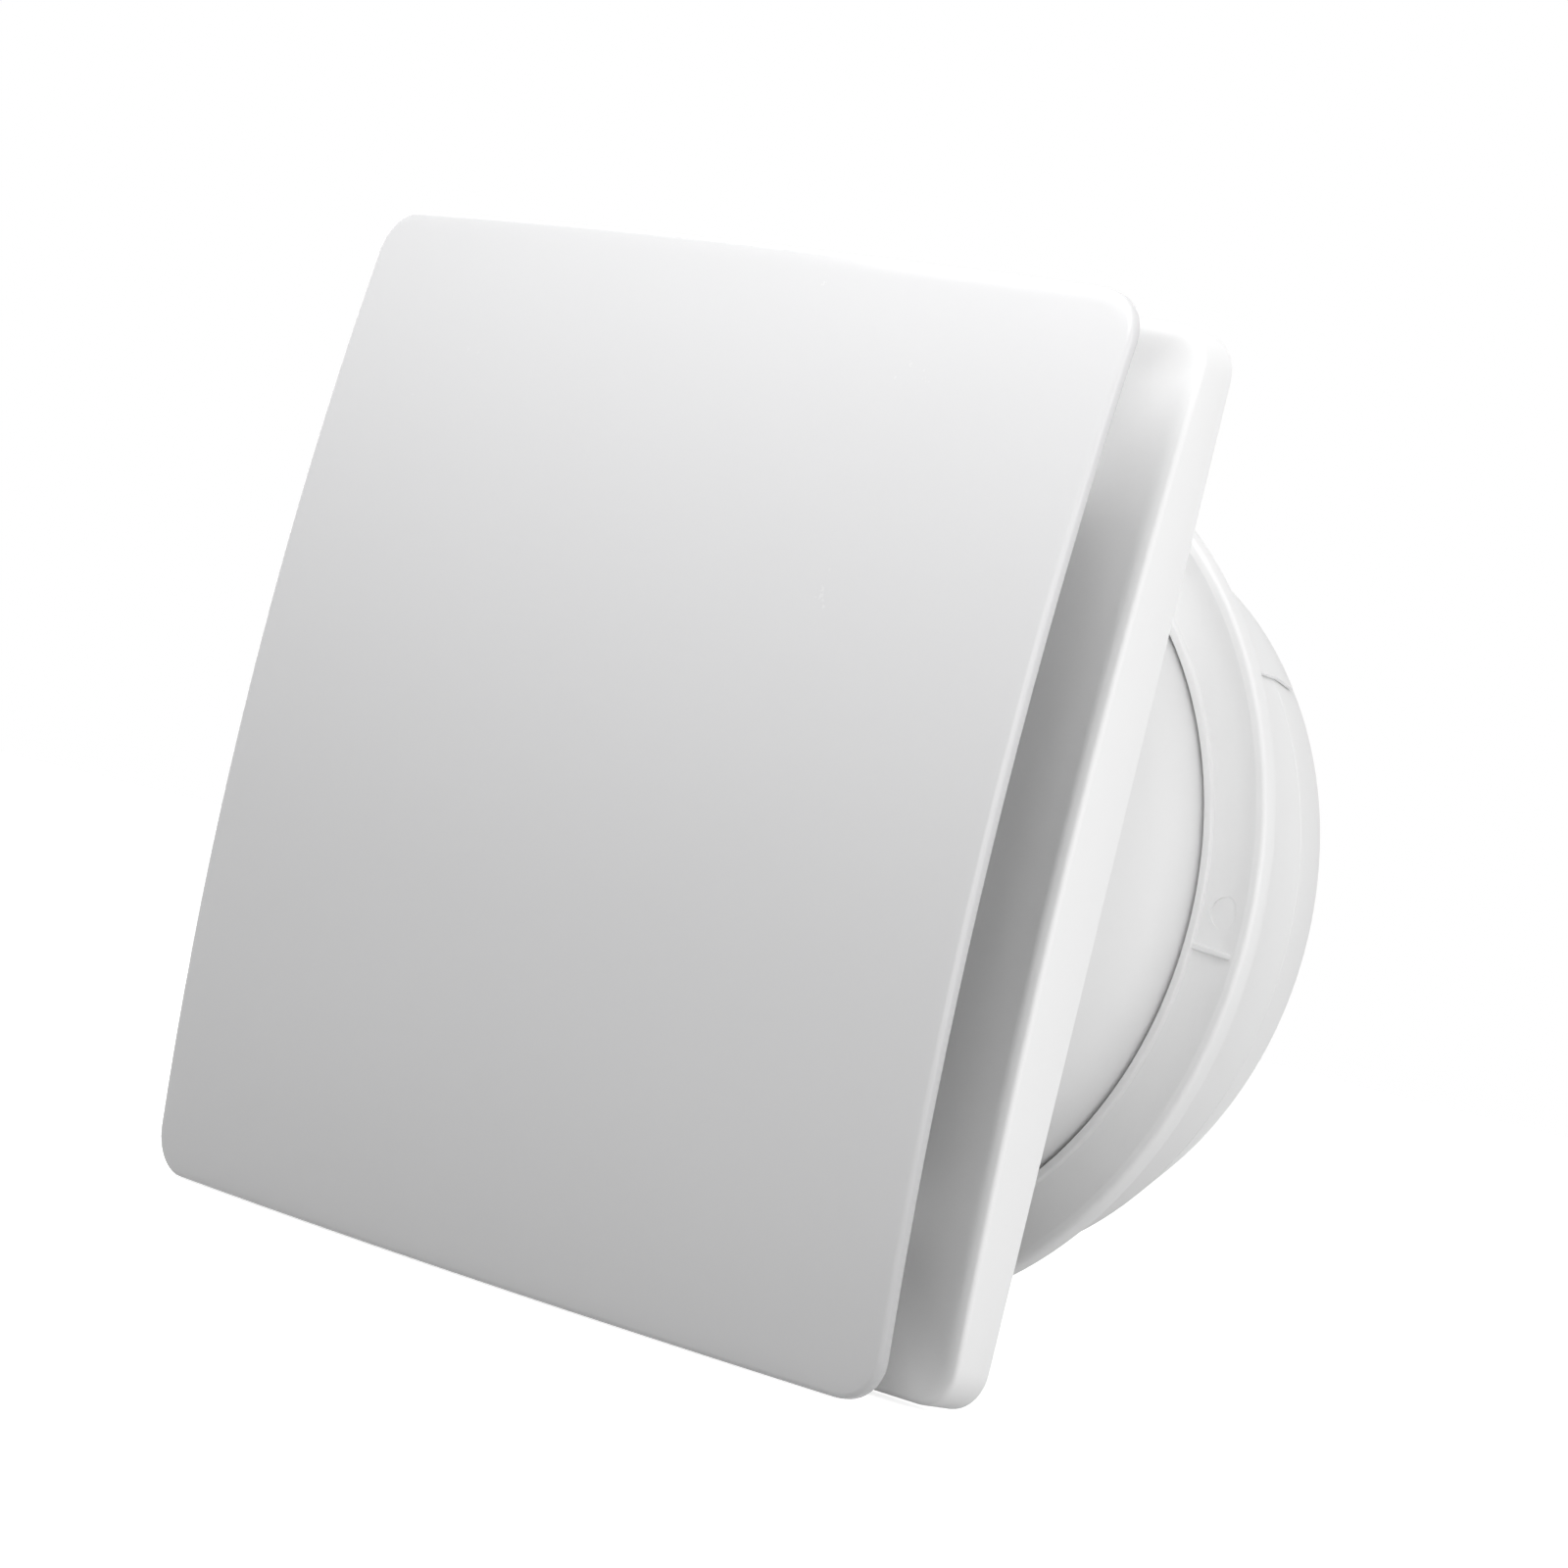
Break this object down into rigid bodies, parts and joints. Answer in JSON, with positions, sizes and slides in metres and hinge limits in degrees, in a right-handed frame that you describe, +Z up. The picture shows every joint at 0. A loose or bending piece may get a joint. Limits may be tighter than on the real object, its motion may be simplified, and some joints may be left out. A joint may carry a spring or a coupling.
{
  "type": "window exhaust fan",
  "caption": "White window exhaust fan: bowed square panel, dished frame, round barrel, axial impeller, telescoping outdoor ring with gravity shutters.",
  "frame": {"origin": "on the fan axis, in the plane of the front frame's back edge, which rests on the window", "axes": "+Y outdoors along the fan axis, +Z up, +X to the right seen from the room"},
  "size_m": [0.25, 0.1736, 0.25],
  "materials": {
    "panel_white": "smooth satin-gloss white moulding",
    "case_white": "satin white moulding",
    "impeller_white": "satin white moulding",
    "foam": "closed-cell foam",
    "rubber": "moulded rubber",
    "dark_plastic": "matt black moulding",
    "motor_steel": "zinc-plated pressing",
    "core_steel": "stacked electrical sheet",
    "screw_steel": "zinc-plated",
    "copper": "enamelled copper wire",
    "brass": "turned brass"
  },
  "bodies": {
    "frame_body": {"front_frame": "case_white", "inlet_guard": "case_white", "barrel": "case_white", "fan_duct": "case_white", "window_gasket": "foam", "cable_grommet": "rubber", "terminal_box": "dark_plastic", "terminal_lid": "dark_plastic", "terminal_block": "case_white", "motor_can": "motor_steel", "motor_end_cover": "motor_steel", "stator_core": "core_steel", "winding_front": "copper", "winding_rear": "copper", "bearing_front": "brass", "bearing_rear": "brass", "motor_bridge": "case_white", "flange_screw_1": "screw_steel", "flange_screw_2": "screw_steel", "flange_screw_3": "screw_steel", "flange_screw_4": "screw_steel", "guard_screw_1": "screw_steel", "bridge_screw_1": "screw_steel", "motor_screw_1": "screw_steel", "guard_screw_2": "screw_steel", "bridge_screw_2": "screw_steel", "motor_screw_2": "screw_steel", "guard_screw_3": "screw_steel", "bridge_screw_3": "screw_steel", "motor_screw_3": "screw_steel"},
    "panel": {"front_panel": "panel_white", "panel_post_1": "case_white", "panel_post_2": "case_white", "panel_post_3": "case_white", "panel_post_4": "case_white"},
    "fan_rotor": {"impeller": "impeller_white", "impeller_nut": "brass", "motor_shaft": "screw_steel", "rotor_core": "core_steel"},
    "outer_unit": {"outer_ring": "case_white", "lock_screw_top": "screw_steel", "lock_screw_bottom": "screw_steel", "rain_visor": "case_white", "shutter_frame": "case_white", "shutter_pin_1": "screw_steel", "shutter_pin_2": "screw_steel", "shutter_pin_3": "screw_steel", "shutter_pin_4": "screw_steel"},
    "slat_1": {"shutter_slat_1": "case_white"},
    "slat_2": {"shutter_slat_2": "case_white"},
    "slat_3": {"shutter_slat_3": "case_white"},
    "slat_4": {"shutter_slat_4": "case_white"}
  },
  "joints": [
    {"name": "panel_pull_off", "type": "slide", "parent": "frame_body", "child": "panel", "axis": [0, -1, 0], "range_m": [0, 0.03]},
    {"name": "fan_spin", "type": "hinge", "parent": "frame_body", "child": "fan_rotor", "pos_m": [0, 0.023, 0], "axis": [0, 1, 0], "continuous": true},
    {"name": "ring_telescope", "type": "slide", "parent": "frame_body", "child": "outer_unit", "axis": [0, -1, 0], "range_m": [0, 0.015]},
    {"name": "slat_1_swing", "type": "hinge", "parent": "outer_unit", "child": "slat_1", "pos_m": [0, 0.106, 0.0621], "axis": [1, 0, 0], "range_deg": [0, 75]},
    {"name": "slat_2_swing", "type": "hinge", "parent": "outer_unit", "child": "slat_2", "pos_m": [0, 0.106, 0.0301], "axis": [1, 0, 0], "range_deg": [0, 75]},
    {"name": "slat_3_swing", "type": "hinge", "parent": "outer_unit", "child": "slat_3", "pos_m": [0, 0.106, -0.0019], "axis": [1, 0, 0], "range_deg": [0, 75]},
    {"name": "slat_4_swing", "type": "hinge", "parent": "outer_unit", "child": "slat_4", "pos_m": [0, 0.106, -0.0339], "axis": [1, 0, 0], "range_deg": [0, 75]}
  ]
}
